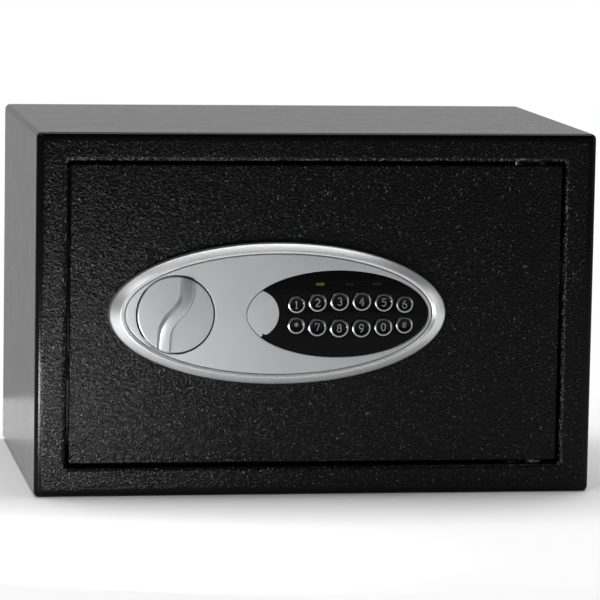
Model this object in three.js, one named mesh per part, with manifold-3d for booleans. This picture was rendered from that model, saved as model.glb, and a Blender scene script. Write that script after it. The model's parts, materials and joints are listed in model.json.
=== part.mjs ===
// A small electronic safe: a folded steel cabinet, a recessed door on pivot pins at its right, two locking
// bolts thrown by a round knob, and an oval lock fascia with a twelve-key pad and a hidden override lock.
// Millimetres, +Z up, origin at the centre of the base. The door faces -Y.
import * as THREE from "three";
import { mergeVertices } from "three/addons/utils/BufferGeometryUtils.js";
import Module from "manifold-3d";

const wasm = await Module();
wasm.setup();

// ---------------------------------------------------------------- driving dimensions
const CABINET = { x0: -155, x1: 155, z0: 0, z1: 200 };
const FRONT = -100; // front face of the cabinet
const BACK = 100;
const SHEET = 1.2; // body sheet
const FRAME = 2.5; // front ring: thickness and edge radius
const OPENING = { x0: -138, x1: 138, z0: 16, z1: 184.5 };
const FLANGE = { thickness: 2, back: -86 }; // return flange round the opening
const CORNER = 3; // corner radius of the cabinet seen from the front

const DOOR_GAP = 1.8;
const DOOR_FRONT = -98.5; // the door sits 1.5 behind the front face
const DOOR_BACK = -95.5;
const DOOR = { x0: OPENING.x0 + DOOR_GAP, x1: OPENING.x1 - DOOR_GAP, z0: 18, z1: 182.5 };
const CHANNEL = { x0: -133, x1: 118, z0: 24, z1: 176.7 }; // stiffening wall behind the door plate
const CHANNEL_SHEET = 1.5;
const CHANNEL_BACK = -62;
const CHANNEL_LEDGE = 10; // inward ledge that the inner cover is screwed to
const COVER_SHEET = 1.2;
const COVER_GAP = 0.3;
const COVER_LIP = -69; // the inner cover's rim reaches forward to here
const COVER = grow(CHANNEL, COVER_SHEET + COVER_GAP);
const COVER_BACK = CHANNEL_BACK + COVER_SHEET;

const PIVOT = { x: 125, y: -92.8, pin: 2.5, hole: 2.8 }; // door hinge axis, along Z
const LUG = { x0: 119.5, x1: 130.5, back: -89, height: 14 };

const FASCIA = { x: -22, z: 101.3 }; // centre of the oval fascia
const PLATE = { a: 84.6, b: 33, back: 6, face: 8 }; // half widths, and heights above the door
const INSERT = { x: 10.75, z: 101.35, a: 50.75, b: 23.95 }; // oval keypad opening in the plate
const PANEL = { flange: 4.8, step: 5.75, face: 7, gap: 0.35, ledge: 2.15 };
const KNOB = { x: -79.1, z: 101.2, r: 21.3, hub: 14, back: 3.5, step: 6, face: 8, top: 13, gap: 0.4 };
const RIDGE = { width: 6.5, swing: 7, turn: 5.5 }; // the knob's S-shaped grip
const CAP = { x: -35.4, z: 101.6, r: 13.5, floor: 6, back: 6.3, face: 8.2, gap: 0.25 }; // lock cover

const KEYS = {
  names: ["1", "2", "3", "4", "5", "6", "star", "7", "8", "9", "0", "hash"],
  x: 17.5,
  z: 100.8,
  columns: [-30.05, -18.4, -6.15, 6.15, 18.4, 30.05],
  back: 3.5,
  flange: 4.5,
  face: 8.4,
  rim: 0.6,
  gap: 0.3,
};
const LIGHTS = { green: 0.55, red: 16.7, amber: 32, z: 117.7, width: 4.6, height: 1.6, gap: 0.2 };
const BOARD = { x: 17.5, a: 38, b: 20, back: 0.4, face: 1.6, matBack: 1.9, matFace: 2.6 };

const LOCK = { x: -30, z: 101.3, r: 6.25, plug: 4, bore: 4.25, back: -84.5 }; // override lock
const LEVER = { length: 25.9, home: 218.2, width: 5, front: -83.9, back: -81.9 };

const BOLT = { r: 7, hole: 7.5, y: -78, tip: -134.5, root: -113, heights: { upper: 136, lower: 66 } };
const THROW = 15;
const CARRIAGE = { front: -79.5, back: -76.5, z0: 88, z1: 120 };
const POST = { x: -95, z: 93, r: 2.5, head: 4, clearance: 0.3 };
const CAM = { r: 14, front: -84, back: -80.5, pin: 2, offset: 7.5, square: 5 };
const SOLENOID = { x: -46, y: -77.5, z0: 130, z1: 160, plunger: 2.5, tip: 120.5, collar: 6 };

const BATTERY = { r: 7.25, can: 49, nub: 1.5, pitch: 15.2, x: 64, y: -71, z: 101 };
const BATTERY_BOX = { x0: 34, x1: 94, z0: 69, z1: 133, front: -79.75, wall: 1.5, floor: 1.25 };
const HATCH = { x0: 35, x1: 93, z0: 70, z1: 132 }; // battery opening in the inner cover
const RESET = { x: 100, z: 150, r: 3, flange: 4.5 };
const MAT = { x0: -150, x1: 150, y0: -84, y1: 96, thickness: 2.5 };
const ANCHOR = { r: 5, x: 105, y: 10, z: 100, matRadius: 8 };

// ---------------------------------------------------------------- shapes
const MANY = 40; // sides of the large ovals
const SOME = 20;
const FEW = 12;

function grow(r, d) {
  return { x0: r.x0 - d, x1: r.x1 + d, z0: r.z0 - d, z1: r.z1 + d };
}

// A closed three.js geometry as a solid that can be joined and cut.
function solid(geometry) {
  geometry.deleteAttribute("normal");
  geometry.deleteAttribute("uv");
  const merged = mergeVertices(geometry, 1e-4);
  const vertProperties = new Float32Array(merged.attributes.position.array);
  const triVerts = new Uint32Array(merged.index.array);
  return new wasm.Manifold(new wasm.Mesh({ numProp: 3, vertProperties, triVerts }));
}

function geometryOf(made) {
  const { vertProperties, triVerts } = made.getMesh();
  const g = new THREE.BufferGeometry();
  g.setAttribute("position", new THREE.BufferAttribute(new Float32Array(vertProperties), 3));
  g.setIndex(new THREE.BufferAttribute(new Uint32Array(triVerts), 1));
  const faceted = g.toNonIndexed();
  faceted.computeVertexNormals();
  return faceted;
}

function box(x0, x1, y0, y1, z0, z1) {
  const g = new THREE.BoxGeometry(x1 - x0, y1 - y0, z1 - z0);
  return solid(g.translate((x0 + x1) / 2, (y0 + y1) / 2, (z0 + z1) / 2));
}

// A round bar from one place to another along an axis; at gives its two other coordinates.
function rod(axis, at, radius, from, to, sides = SOME) {
  const g = new THREE.CylinderGeometry(radius, radius, to - from, sides);
  g.translate(0, (from + to) / 2, 0);
  if (axis === "x") g.rotateZ(-Math.PI / 2).translate(0, at[0], at[1]);
  if (axis === "y") g.translate(at[0], 0, at[1]);
  if (axis === "z") g.rotateX(Math.PI / 2).translate(at[0], at[1], 0);
  return solid(g);
}

// A round piece from its outline as [radius, height] pairs up the Y axis.
function turned(outline, sides = SOME) {
  return new THREE.LatheGeometry(outline.map(([r, y]) => new THREE.Vector2(r, y)), sides);
}

// An oval piece about the Y axis, from [half width, half height, height above the door] rings.
function oval(rings, sides = MANY) {
  const g = turned(rings.map(([a, , h]) => [a > 0 ? 1 : 0, -h]), sides);
  const p = g.attributes.position;
  for (let i = 0; i < p.count; i++) {
    const [a, b] = rings[i % rings.length];
    p.setX(i, p.getX(i) * a);
    p.setZ(i, p.getZ(i) * b);
  }
  return solid(g);
}

function ovalDisc(a, b, back, face, chamfer = 0) {
  const rim = chamfer > 0 ? [[a, b, face - chamfer], [a - chamfer, b - chamfer, face]] : [[a, b, face]];
  return oval([[0, 0, face], ...rim.reverse(), [a, b, back], [0, 0, back]]);
}

function rounded(r, radius) {
  const s = new THREE.Shape();
  s.moveTo(r.x0 + radius, r.z0);
  s.lineTo(r.x1 - radius, r.z0);
  s.absarc(r.x1 - radius, r.z0 + radius, radius, -Math.PI / 2, 0);
  s.lineTo(r.x1, r.z1 - radius);
  s.absarc(r.x1 - radius, r.z1 - radius, radius, 0, Math.PI / 2);
  s.lineTo(r.x0 + radius, r.z1);
  s.absarc(r.x0 + radius, r.z1 - radius, radius, Math.PI / 2, Math.PI);
  s.lineTo(r.x0, r.z0 + radius);
  s.absarc(r.x0 + radius, r.z0 + radius, radius, Math.PI, 1.5 * Math.PI);
  return s;
}

function ringShape(outer, outerRadius, inner, innerRadius) {
  const s = rounded(outer, outerRadius);
  s.holes.push(rounded(inner, innerRadius));
  return s;
}

// A sheet cut to an outline in X and Z, from one depth to another, with its front edges rounded over.
function sheet(shape, front, back, edge = 0) {
  const spare = 1;
  const g = new THREE.ExtrudeGeometry(shape, {
    depth: back + spare - front - edge,
    curveSegments: 3,
    bevelEnabled: edge > 0,
    bevelThickness: edge,
    bevelSize: edge,
    bevelOffset: -edge,
    bevelSegments: 3,
  });
  g.rotateX(Math.PI / 2).translate(0, back + spare, 0);
  const beyond = 400;
  return solid(g).subtract(box(-beyond, beyond, back, back + spare + edge + 1, -beyond, beyond));
}

// A round cable along a smooth route.
function cable(points, radius) {
  const route = new THREE.CatmullRomCurve3(points.map((p) => new THREE.Vector3(...p)));
  const section = new THREE.Shape();
  section.absarc(0, 0, radius, 0, 2 * Math.PI);
  return solid(
    new THREE.ExtrudeGeometry(section, { steps: 16, curveSegments: 4, extrudePath: route }),
  );
}

// ---------------------------------------------------------------- finishes
const finish = (color, roughness, metalness) =>
  new THREE.MeshStandardMaterial({ color, roughness, metalness });
const blackCoat = () => finish(0x17181a, 0.5, 0.1);
const zincPlate = () => finish(0xb9bcc0, 0.35, 0.9);
const satinSilver = () => finish(0xc4c6c8, 0.3, 0.7);
const blackPlastic = () => finish(0x0b0b0c, 0.25, 0);
const brass = () => finish(0xb8963f, 0.35, 0.9);
const darkSteel = () => finish(0x2a2b2d, 0.45, 0.8);

const safe = new THREE.Group();
const cabinet = new THREE.Group();
const door = new THREE.Group();
const fascia = new THREE.Group(); // its y = 0 is the door's front face
fascia.position.set(FASCIA.x, DOOR_FRONT, FASCIA.z);
safe.add(cabinet, door);
door.add(fascia);

function add(parent, name, made, material, at = [0, 0, 0]) {
  const mesh = new THREE.Mesh(made.isBufferGeometry ? made : geometryOf(made), material);
  mesh.name = name;
  mesh.position.set(...at);
  parent.add(mesh);
  return mesh;
}

// ---------------------------------------------------------------- cabinet
function bodyShell() {
  const tube = ringShape(CABINET, CORNER, grow(CABINET, -SHEET), CORNER - SHEET);
  const floorHoles = [-1, 1].map((side) => rod("z", [side * ANCHOR.x, ANCHOR.y], ANCHOR.r, -1, 3));
  return floorHoles.reduce((made, hole) => made.subtract(hole), sheet(tube, FRONT + FRAME, BACK));
}

function backPanel() {
  const weldGap = 0.3;
  const outline = rounded(grow(CABINET, -SHEET - weldGap), CORNER - SHEET);
  const holes = [-1, 1].map((side) => rod("y", [side * ANCHOR.x, ANCHOR.z], ANCHOR.r, 98, 101));
  return holes.reduce((made, hole) => made.subtract(hole), sheet(outline, BACK - SHEET, BACK));
}

function frontFrame() {
  const corner = 1.5;
  const face = ringShape(CABINET, CORNER, OPENING, corner);
  const flange = ringShape(grow(OPENING, FLANGE.thickness), corner, OPENING, corner);
  const overlap = 0.5;
  const joined = sheet(face, FRONT, FRONT + FRAME, FRAME).add(
    sheet(flange, FRONT + FRAME - overlap, FLANGE.back),
  );
  const pinHoles = rod("z", [PIVOT.x, PIVOT.y], PIVOT.hole, OPENING.z0 - 4, OPENING.z0 + 1).add(
    rod("z", [PIVOT.x, PIVOT.y], PIVOT.hole, OPENING.z1 - 1, OPENING.z1 + 4),
  );
  return joined.subtract(pinHoles);
}

function floorMat() {
  const felt = box(MAT.x0, MAT.x1, MAT.y0, MAT.y1, SHEET, SHEET + MAT.thickness);
  const holes = [-1, 1].map((side) => rod("z", [side * ANCHOR.x, ANCHOR.y], ANCHOR.matRadius, 0, 5));
  return holes.reduce((made, hole) => made.subtract(hole), felt);
}

function hingeWasher() {
  const at = [PIVOT.x, PIVOT.y];
  return rod("z", at, 4.5, 16.15, 17.85).subtract(rod("z", at, PIVOT.hole, 15, 19));
}

add(cabinet, "body_shell", bodyShell(), blackCoat());
add(cabinet, "back_panel", backPanel(), blackCoat());
add(cabinet, "front_frame", frontFrame(), blackCoat());
add(cabinet, "floor_mat", floorMat(), finish(0x2b2c2f, 0.95, 0));
add(cabinet, "hinge_washer", hingeWasher(), finish(0x1b1b1c, 0.5, 0));

// ---------------------------------------------------------------- door structure
const spindleHole = 5;
const cableHole = 6;

function doorPlate() {
  const edge = 0.8;
  return sheet(rounded(DOOR, 1.5), DOOR_FRONT, DOOR_BACK, edge)
    .subtract(rod("y", [KNOB.x, KNOB.z], spindleHole, DOOR_FRONT - 1, DOOR_BACK + 1))
    .subtract(rod("y", [LOCK.x, LOCK.z], LOCK.r + 0.35, DOOR_FRONT - 1, DOOR_BACK + 1))
    .subtract(rod("y", [INSERT.x, INSERT.z], cableHole, DOOR_FRONT - 1, DOOR_BACK + 1));
}

const screwInset = 5.75;
const screwHole = 2.2;
const screwPlaces = [
  [CHANNEL.x0 + screwInset, CHANNEL.z0 + screwInset],
  [CHANNEL.x1 - screwInset, CHANNEL.z0 + screwInset],
  [CHANNEL.x0 + screwInset, CHANNEL.z1 - screwInset],
  [CHANNEL.x1 - screwInset, CHANNEL.z1 - screwInset],
];
const drilled = (made) =>
  screwPlaces.reduce((m, at) => m.subtract(rod("y", at, screwHole, -66, -59, FEW)), made);

function doorChannel() {
  const inside = grow(CHANNEL, -CHANNEL_SHEET);
  const wall = sheet(ringShape(CHANNEL, 2, inside, 0.5), DOOR_BACK, CHANNEL_BACK);
  const ledge = ringShape(CHANNEL, 2, grow(CHANNEL, -CHANNEL_LEDGE), 2);
  const made = wall.add(sheet(ledge, CHANNEL_BACK - CHANNEL_SHEET, CHANNEL_BACK));
  const boltHoles = Object.values(BOLT.heights).map((z) =>
    rod("x", [BOLT.y, z], BOLT.hole, CHANNEL.x0 - 1, CHANNEL.x0 + 4),
  );
  return boltHoles.reduce((m, hole) => m.subtract(hole), drilled(made));
}

function innerCover() {
  const rim = ringShape(COVER, 3, grow(COVER, -COVER_SHEET), 1.8);
  const face = sheet(rounded(COVER, 3), CHANNEL_BACK, COVER_BACK);
  const tray = face.add(sheet(rim, COVER_LIP, COVER_BACK));
  return drilled(tray)
    .subtract(box(HATCH.x0, HATCH.x1, COVER_LIP, COVER_BACK + 1, HATCH.z0, HATCH.z1))
    .subtract(rod("y", [RESET.x, RESET.z], RESET.r + 0.4, COVER_LIP, COVER_BACK + 1));
}

function coverScrew() {
  return turned([[0, -6], [1.9, -6], [1.9, 0], [4, 0], [4, 1.2], [3, 2.2], [0, 2.2]], FEW);
}

function hingeLug(z0) {
  return box(LUG.x0, LUG.x1, DOOR_BACK, LUG.back, z0, z0 + LUG.height);
}

const hingePin = (z0, z1) => rod("z", [PIVOT.x, PIVOT.y], PIVOT.pin, z0, z1);

add(door, "door_plate", doorPlate(), blackCoat());
add(door, "door_channel", doorChannel(), zincPlate());
add(door, "inner_cover", innerCover(), blackCoat());
screwPlaces.forEach(([x, z], i) =>
  add(door, `cover_screw_${i + 1}`, coverScrew(), zincPlate(), [x, COVER_BACK, z]),
);
add(door, "hinge_lug_upper", hingeLug(DOOR.z1 - LUG.height), blackCoat());
add(door, "hinge_lug_lower", hingeLug(DOOR.z0), blackCoat());
add(door, "hinge_pin_upper", hingePin(DOOR.z1, DOOR.z1 + 6), darkSteel());
add(door, "hinge_pin_lower", hingePin(DOOR.z0 - 6, DOOR.z0), darkSteel());

// ---------------------------------------------------------------- lock fascia, in its own group
const local = (x, z) => [x - FASCIA.x, z - FASCIA.z];
const [insertX, insertZ] = local(INSERT.x, INSERT.z);
const BEZEL_INSIDE = { a: 82, b: 30.3 };

function bezel() {
  return oval([
    [BEZEL_INSIDE.a, BEZEL_INSIDE.b, 0],
    [BEZEL_INSIDE.a, BEZEL_INSIDE.b, 5.7],
    [PLATE.a + 0.4, PLATE.b + 0.3, 5.7],
    [PLATE.a + 0.4, PLATE.b + 0.3, 7.6],
    [87.3, 34.7, 9],
    [88.6, 35.9, 9],
    [91.6, 37.9, 6.9],
    [93, 38.8, 4.5],
    [93, 38.8, 0],
    [BEZEL_INSIDE.a, BEZEL_INSIDE.b, 0],
  ]);
}

// The oval of the keypad opening, larger or smaller by a margin.
function insertDisc(margin, back, face) {
  return ovalDisc(INSERT.a + margin, INSERT.b + margin, back, face).translate([insertX, 0, insertZ]);
}

function fasciaPlate() {
  return ovalDisc(PLATE.a, PLATE.b, PLATE.back, PLATE.face, 0.5)
    .subtract(rod("y", local(KNOB.x, KNOB.z), KNOB.r + KNOB.gap, -20, 0, MANY))
    .subtract(insertDisc(0, 0, 20));
}

// The left end of the keypad oval, bounded on its right by a circle.
function capOutline(margin, back, face) {
  const circle = rod("y", local(CAP.x, CAP.z), CAP.r + margin, -face, -back, MANY);
  return insertDisc(margin, back, face).intersect(circle);
}

const keyRadius = (dx) => 5.2 - 0.0005 * dx * dx;
const keyRise = (dx) => 7.43 - 0.0019 * dx * dx;
const keyPlaces = KEYS.names.map((name, i) => {
  const dx = KEYS.columns[i % 6];
  const row = i < 6 ? 1 : -1;
  return { name, r: keyRadius(dx), at: local(KEYS.x + dx, KEYS.z + row * keyRise(dx)) };
});

function lightBar(x, margin, back, face) {
  const [cx, cz] = local(x, LIGHTS.z);
  const w = LIGHTS.width / 2 + margin;
  const h = LIGHTS.height / 2 + margin;
  return box(cx - w, cx + w, -face, -back, cz - h, cz + h);
}

function keypadPanel() {
  const inside = ovalDisc(BEZEL_INSIDE.a - 0.3, BEZEL_INSIDE.b - 0.3, 0, PANEL.step - 0.05);
  const flange = insertDisc(PANEL.ledge, PANEL.flange, PANEL.step - 0.05).intersect(inside);
  const core = insertDisc(-PANEL.gap - 2, PANEL.flange, PANEL.face).intersect(
    ovalDisc(BEZEL_INSIDE.a - 0.3, BEZEL_INSIDE.b - 0.3, 0, PANEL.face + 1),
  );
  let made = insertDisc(-PANEL.gap, PANEL.step, PANEL.face).add(core).add(flange);
  made = made.subtract(capOutline(CAP.gap, CAP.floor, 20));
  made = made.subtract(rod("y", local(LOCK.x, LOCK.z), LOCK.r + 0.35, -20, 0));
  for (const key of keyPlaces) made = made.subtract(rod("y", key.at, key.r + KEYS.gap, -20, 0, FEW));
  for (const x of [LIGHTS.green, LIGHTS.red, LIGHTS.amber])
    made = made.subtract(lightBar(x, LIGHTS.gap, 0, 20));
  return made;
}

function keyCap(r) {
  return turned(
    [
      [0, -KEYS.face],
      [r - 0.6, -KEYS.face],
      [r, -KEYS.face + 0.5],
      [r, -KEYS.flange],
      [r + KEYS.rim, -KEYS.flange],
      [r + KEYS.rim, -KEYS.back],
      [0, -KEYS.back],
    ],
    FEW,
  );
}

function boardDisc(back, face) {
  const [x, z] = local(BOARD.x, INSERT.z);
  return ovalDisc(BOARD.a, BOARD.b, back, face).translate([x, 0, z]);
}

function lockBody() {
  const front = DOOR_FRONT - CAP.floor;
  const at = [LOCK.x, LOCK.z];
  return rod("y", at, LOCK.r, front, LOCK.back).subtract(
    rod("y", at, LOCK.bore, front - 1, LOCK.back + 1),
  );
}

add(fascia, "fascia_bezel", bezel(), satinSilver());
add(fascia, "fascia_plate", fasciaPlate(), satinSilver());
add(fascia, "keypad_panel", keypadPanel(), blackPlastic());
add(fascia, "keypad_board", boardDisc(BOARD.back, BOARD.face), finish(0x1d4a2c, 0.5, 0));
add(fascia, "key_mat", boardDisc(BOARD.matBack, BOARD.matFace), finish(0x555759, 0.8, 0));
for (const key of keyPlaces)
  add(fascia, `key_${key.name}`, keyCap(key.r), blackPlastic(), [key.at[0], 0, key.at[1]]);
add(fascia, "light_green", lightBar(LIGHTS.green, 0, 2.9, 7.2), finish(0x9bd23c, 0.3, 0));
add(fascia, "light_red", lightBar(LIGHTS.red, 0, 2.9, 7.2), finish(0xd23c2c, 0.3, 0));
add(fascia, "light_amber", lightBar(LIGHTS.amber, 0, 2.9, 7.2), finish(0x6f7466, 0.3, 0));
add(fascia, "override_cap", capOutline(-CAP.gap, CAP.back, CAP.face), satinSilver());
add(door, "override_lock_body", lockBody(), brass());

// ---------------------------------------------------------------- override lock plug and lever
function overridePlug() {
  const at = [LOCK.x, LOCK.z];
  const front = DOOR_FRONT - CAP.floor + 0.1;
  const keyway = box(LOCK.x - 0.6, LOCK.x + 0.6, front - 1, front + 6, LOCK.z - 3, LOCK.z + 3);
  return rod("y", at, LOCK.plug, front, LOCK.back + 0.3)
    .add(rod("y", at, 2.5, LOCK.back, LEVER.back + 0.5))
    .subtract(keyway);
}

function overrideLever() {
  const at = [LOCK.x, LOCK.z];
  const half = LEVER.width / 2;
  const arm = box(0, LEVER.length, LEVER.front, LEVER.back, -half, half)
    .add(rod("y", [LEVER.length, 0], half, LEVER.front, LEVER.back, FEW))
    .add(rod("y", [0, 0], half + 3, LEVER.front, LEVER.back))
    .subtract(rod("y", [0, 0], 2.75, LEVER.front - 1, LEVER.back + 1));
  return arm.rotate([0, -LEVER.home, 0]).translate([at[0], 0, at[1]]);
}

add(door, "override_plug", overridePlug(), brass());
add(door, "override_lever", overrideLever(), zincPlate());

// ---------------------------------------------------------------- knob, spindle and drive cam
function knobGrip() {
  const reach = KNOB.r + 2;
  const steps = 14;
  const side = (sign) =>
    Array.from({ length: steps + 1 }, (_, i) => {
      const z = -reach + (2 * reach * i) / steps;
      const x = RIDGE.swing * Math.tanh(z / RIDGE.turn);
      const slope = RIDGE.swing / RIDGE.turn / Math.cosh(z / RIDGE.turn) ** 2;
      const k = (sign * RIDGE.width) / 2 / Math.hypot(1, slope);
      return new THREE.Vector2(x + k, z - k * slope);
    });
  const outline = new THREE.Shape([...side(1), ...side(-1).reverse()]);
  return sheet(outline, -KNOB.top, -KNOB.face + 0.5);
}

function knob() {
  const disc = solid(
    turned(
      [
        [0, -KNOB.face],
        [KNOB.r - 0.8, -KNOB.face],
        [KNOB.r, -KNOB.face + 0.8],
        [KNOB.r, -KNOB.step],
        [KNOB.hub, -KNOB.step],
        [KNOB.hub, -KNOB.back],
        [0, -KNOB.back],
      ],
      MANY,
    ),
  );
  const rimCut = rod("y", [0, 0], KNOB.r - 0.8, -KNOB.top - 1, -KNOB.back - 1, MANY);
  return disc.add(knobGrip().intersect(rimCut));
}

function knobSpindle() {
  const half = CAM.square / 2;
  const shoulder = CAM.front - 0.25;
  const tail = box(KNOB.x - half, KNOB.x + half, shoulder - 1, -80, KNOB.z - half, KNOB.z + half);
  return rod("y", [KNOB.x, KNOB.z], 4, DOOR_FRONT - KNOB.back, shoulder).add(tail);
}

function driveCam() {
  const half = CAM.square / 2 + 0.25;
  const pinAt = [KNOB.x + CAM.offset, KNOB.z + CAM.offset];
  return rod("y", [KNOB.x, KNOB.z], CAM.r, CAM.front, CAM.back)
    .add(rod("y", pinAt, CAM.pin, CAM.back - 1, CARRIAGE.back + 1.5, FEW))
    .subtract(
      box(KNOB.x - half, KNOB.x + half, CAM.front - 1, CAM.back + 1, KNOB.z - half, KNOB.z + half),
    );
}

const [knobX, knobZ] = local(KNOB.x, KNOB.z);
add(fascia, "knob", knob(), satinSilver(), [knobX, 0, knobZ]);
add(door, "knob_spindle", knobSpindle(), zincPlate());
add(door, "drive_cam", driveCam(), zincPlate());

// ---------------------------------------------------------------- boltwork
function boltCarriage() {
  const { front, back, z0, z1 } = CARRIAGE;
  const flange = box(BOLT.root, BOLT.root + 3, BOLT.y - 8, BOLT.y + 8, 56, 146);
  const arm = box(BOLT.root + 2, -60, front, back, z0, z1);
  const nose = box(-61, -24, front, back, z1 - 10, z1);
  const pinX = KNOB.x + CAM.offset;
  const camSlot = box(pinX - 2.6, pinX + 2.6, front - 1, back + 1, 105.5, 115);
  const slack = POST.r + POST.clearance;
  const guide = box(POST.x - slack, POST.x + THROW + slack, front - 1, back + 1, POST.z - slack, POST.z + slack);
  const notch = (x) => box(x - 3.1, x + 3.1, front - 1, back + 1, z1 - 4.5, z1 + 1);
  return flange
    .add(arm)
    .add(nose)
    .subtract(camSlot)
    .subtract(guide)
    .subtract(notch(SOLENOID.x))
    .subtract(notch(SOLENOID.x + THROW));
}

function lockingBolt() {
  const length = BOLT.root - BOLT.tip;
  return turned([[0, 0], [BOLT.r - 0.8, 0], [BOLT.r, 0.8], [BOLT.r, length], [0, length]]).rotateZ(
    -Math.PI / 2,
  );
}

function guidePost() {
  return turned([
    [0, DOOR_BACK],
    [POST.r, DOOR_BACK],
    [POST.r, CARRIAGE.back + 0.7],
    [POST.head, CARRIAGE.back + 0.7],
    [POST.head, -73],
    [0, -73],
  ]);
}

add(door, "bolt_carriage", boltCarriage(), zincPlate());
for (const [name, z] of Object.entries(BOLT.heights))
  add(door, `locking_bolt_${name}`, lockingBolt(), zincPlate(), [BOLT.tip, BOLT.y, z]);
add(door, "guide_post", guidePost(), zincPlate(), [POST.x, 0, POST.z]);

// ---------------------------------------------------------------- solenoid
function solenoidFrame() {
  const { x, y, z0, z1 } = SOLENOID;
  const plate = 1.5;
  const web = box(x - 10, x + 10, DOOR_BACK, DOOR_BACK + plate, z0, z1);
  const arm = (z) => box(x - 10, x + 10, DOOR_BACK + 1, y + 11, z, z + plate);
  return web.add(arm(z0)).add(arm(z1 - plate)).subtract(rod("z", [x, y], 2.9, z0 - 1, z0 + 3));
}

function solenoidCoil() {
  const { x, y, z0, z1 } = SOLENOID;
  return rod("z", [x, y], 9, z0 + 1.8, z1 - 1.8).subtract(rod("z", [x, y], 2.8, z0, z1 - 8));
}

function solenoidPlunger() {
  const { plunger, collar } = SOLENOID;
  return turned([
    [0, 0],
    [plunger - 0.5, 0],
    [plunger, 0.5],
    [plunger, 4.2],
    [collar, 4.2],
    [collar, 5.4],
    [plunger, 5.4],
    [plunger, 29.5],
    [0, 29.5],
  ]).rotateX(Math.PI / 2);
}

function plungerSpring() {
  const at = [SOLENOID.x, SOLENOID.y];
  return rod("z", at, 4, 126.3, 129.7).subtract(rod("z", at, 2.9, 126, 130));
}

const leadStart = DOOR_FRONT - 0.2;
const solenoidLead = () =>
  cable(
    [
      [8, leadStart, 103],
      [8, -93, 103],
      [2, -89.5, 106],
      [-12, -89, 118],
      [-20, -87, 132],
      [-26, -80, 139],
      [-32, SOLENOID.y, 140],
      [-36.4, SOLENOID.y, 140],
    ],
    0.9,
  );
const batteryLead = () =>
  cable(
    [
      [12.5, leadStart, 100.5],
      [12.5, -93, 100.5],
      [16, -87.5, 100.6],
      [22, -82, 100.8],
      [26, -76, 101],
      [30, -74, 101],
      [BATTERY_BOX.x0 - 0.5, -74, 101],
    ],
    1.5,
  );

add(door, "solenoid_frame", solenoidFrame(), zincPlate());
add(door, "solenoid_coil", solenoidCoil(), finish(0x8a3b1e, 0.5, 0.2));
add(door, "solenoid_plunger", solenoidPlunger(), zincPlate(), [SOLENOID.x, SOLENOID.y, SOLENOID.tip]);
add(door, "plunger_spring", plungerSpring(), zincPlate());
add(door, "solenoid_lead", solenoidLead(), finish(0xa02a20, 0.5, 0));
add(door, "battery_lead", batteryLead(), finish(0x1c1c1e, 0.5, 0));

// ---------------------------------------------------------------- batteries, lid and reset button
function batteryBox() {
  const { x0, x1, z0, z1, front, wall, floor } = BATTERY_BOX;
  return box(x0, x1, front, CHANNEL_BACK, z0, z1).subtract(
    box(x0 + wall, x1 - wall, front + floor, CHANNEL_BACK + 1, z0 + 1.4, z1 - 1.4),
  );
}

// A cell lying along X, with its positive nub at +X.
function battery() {
  const half = (BATTERY.can + BATTERY.nub) / 2;
  return turned([
    [0, -half],
    [BATTERY.r, -half],
    [BATTERY.r, half - BATTERY.nub],
    [2.75, half - BATTERY.nub],
    [2.75, half],
    [0, half],
  ]).rotateZ(-Math.PI / 2);
}

function batteryLid() {
  const gap = 0.4;
  return box(HATCH.x0 + gap, HATCH.x1 - gap, CHANNEL_BACK, COVER_BACK + 0.3, HATCH.z0 + gap, HATCH.z1 - gap);
}

function resetButton() {
  return turned([
    [0, -64],
    [RESET.flange, -64],
    [RESET.flange, CHANNEL_BACK - 0.5],
    [RESET.r, CHANNEL_BACK - 0.5],
    [RESET.r, COVER_BACK + 1.5],
    [0, COVER_BACK + 1.5],
  ]);
}

add(door, "battery_box", batteryBox(), blackPlastic());
for (let i = 0; i < 4; i++) {
  const z = BATTERY.z + BATTERY.pitch * (i - 1.5);
  const cell = add(door, `battery_${i + 1}`, battery(), brass(), [BATTERY.x, BATTERY.y, z]);
  cell.rotation.y = i % 2 ? Math.PI : 0;
}
add(door, "battery_lid", batteryLid(), blackPlastic());
add(door, "reset_button", resetButton(), finish(0xb3261e, 0.4, 0), [RESET.x, 0, RESET.z]);

export default safe;
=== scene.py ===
"""The looks of a small electronic safe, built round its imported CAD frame. Metres, +Z up, the door faces -Y."""
import json
import math

import bmesh
import bpy
from mathutils import Matrix, Vector


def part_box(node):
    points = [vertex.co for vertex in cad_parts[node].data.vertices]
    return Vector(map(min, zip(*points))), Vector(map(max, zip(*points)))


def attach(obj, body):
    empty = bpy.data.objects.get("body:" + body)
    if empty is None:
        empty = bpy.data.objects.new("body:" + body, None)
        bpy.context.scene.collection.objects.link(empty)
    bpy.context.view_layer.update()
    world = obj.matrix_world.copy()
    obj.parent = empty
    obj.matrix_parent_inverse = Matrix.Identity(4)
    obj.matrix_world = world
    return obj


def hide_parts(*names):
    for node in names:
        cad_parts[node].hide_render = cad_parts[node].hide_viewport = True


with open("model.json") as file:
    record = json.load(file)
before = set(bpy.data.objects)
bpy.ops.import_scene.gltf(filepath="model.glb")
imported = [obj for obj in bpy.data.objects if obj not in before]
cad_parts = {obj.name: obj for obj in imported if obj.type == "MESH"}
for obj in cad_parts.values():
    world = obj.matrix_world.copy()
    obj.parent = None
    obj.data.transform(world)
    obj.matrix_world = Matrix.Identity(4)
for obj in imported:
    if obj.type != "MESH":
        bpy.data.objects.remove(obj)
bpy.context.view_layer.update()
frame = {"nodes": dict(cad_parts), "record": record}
scene = bpy.context.scene
MM = 0.001


# ---------------------------------------------------------------- places, from the CAD
def span(node):
    """Lowest corner, highest corner and centre of a CAD node."""
    low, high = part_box(node)
    return low, high, (low + high) / 2


def half(node):
    """Half the size of a CAD node along each axis."""
    low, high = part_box(node)
    return (high - low) / 2


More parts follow.
